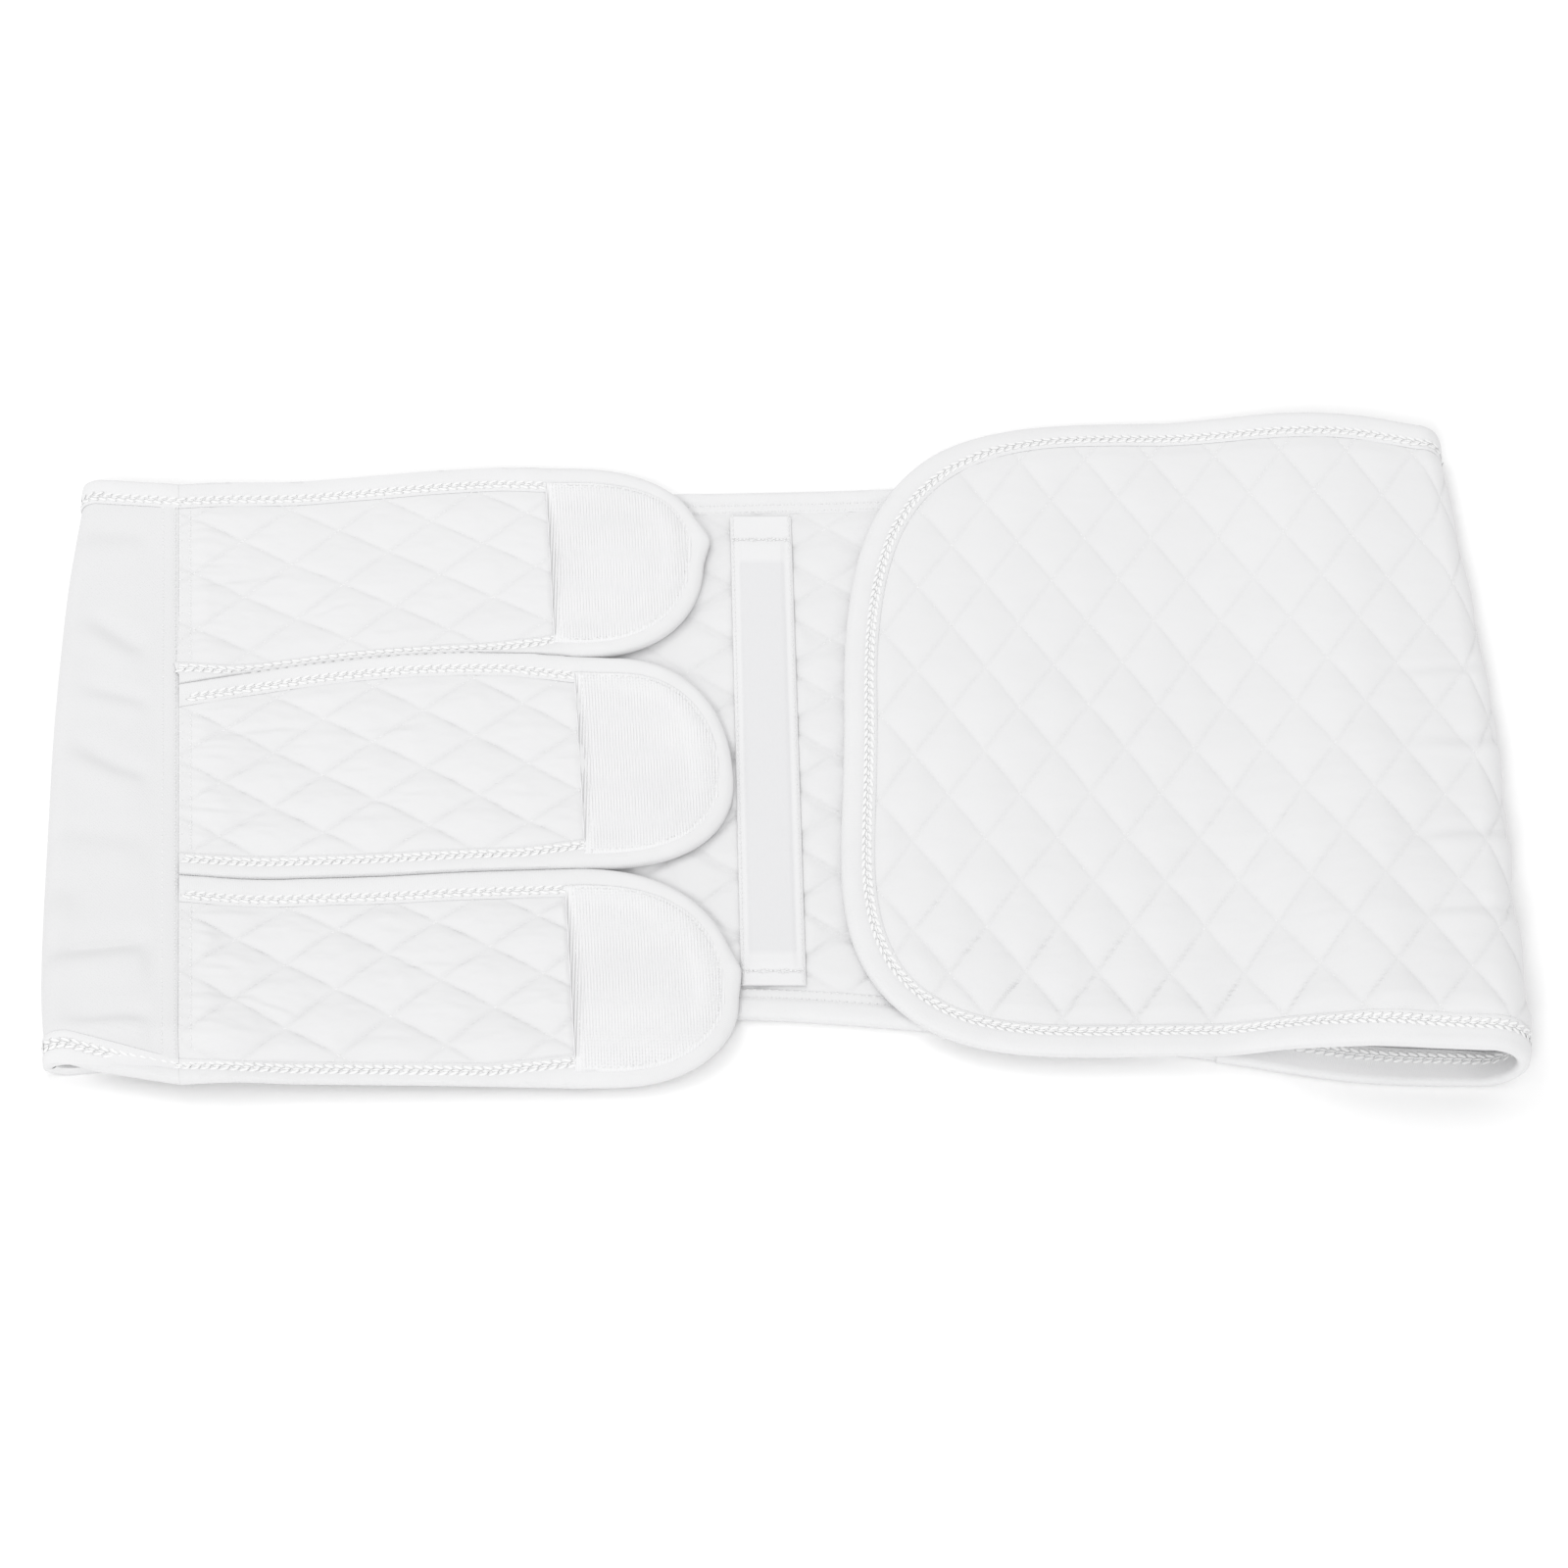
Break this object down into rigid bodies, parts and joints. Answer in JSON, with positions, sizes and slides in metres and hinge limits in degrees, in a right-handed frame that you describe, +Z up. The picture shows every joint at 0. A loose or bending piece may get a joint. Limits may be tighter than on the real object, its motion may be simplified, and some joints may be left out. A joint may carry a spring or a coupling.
{
  "type": "abdominal binder",
  "caption": "White quilted abdominal binder lying with both ends folded over: an elastic panel with three hook-tipped tabs on the left and a wide rounded front panel on the right.",
  "frame": {"origin": "middle of the bounding box's base, on the surface that the binder lies on", "axes": "+X along the binder towards the folded front panel, +Y across it towards the far edge, +Z up"},
  "size_m": [0.5164, 0.29, 0.0323],
  "materials": {
    "quilted_cotton": "matte quilted cotton",
    "knitted_elastic": "matte fine-knit elastic",
    "binding_tape": "matte folded knit tape",
    "hook_tape": "finely ribbed hook tape",
    "casing_cotton": "matte woven tape"
  },
  "bodies": {
    "root": {"back_panel": "quilted_cotton", "front_panel": "quilted_cotton", "tab_lower": "quilted_cotton", "tab_middle": "quilted_cotton", "tab_upper": "quilted_cotton", "elastic_panel": "knitted_elastic", "back_binding_near": "binding_tape", "back_binding_far": "binding_tape", "elastic_binding_near": "binding_tape", "elastic_binding_far": "binding_tape", "front_binding": "binding_tape", "tab_binding_lower": "binding_tape", "tab_binding_middle": "binding_tape", "tab_binding_upper": "binding_tape", "hook_patch_lower": "hook_tape", "hook_patch_middle": "hook_tape", "hook_patch_upper": "hook_tape", "stay_casing": "casing_cotton"}
  },
  "joints": []
}
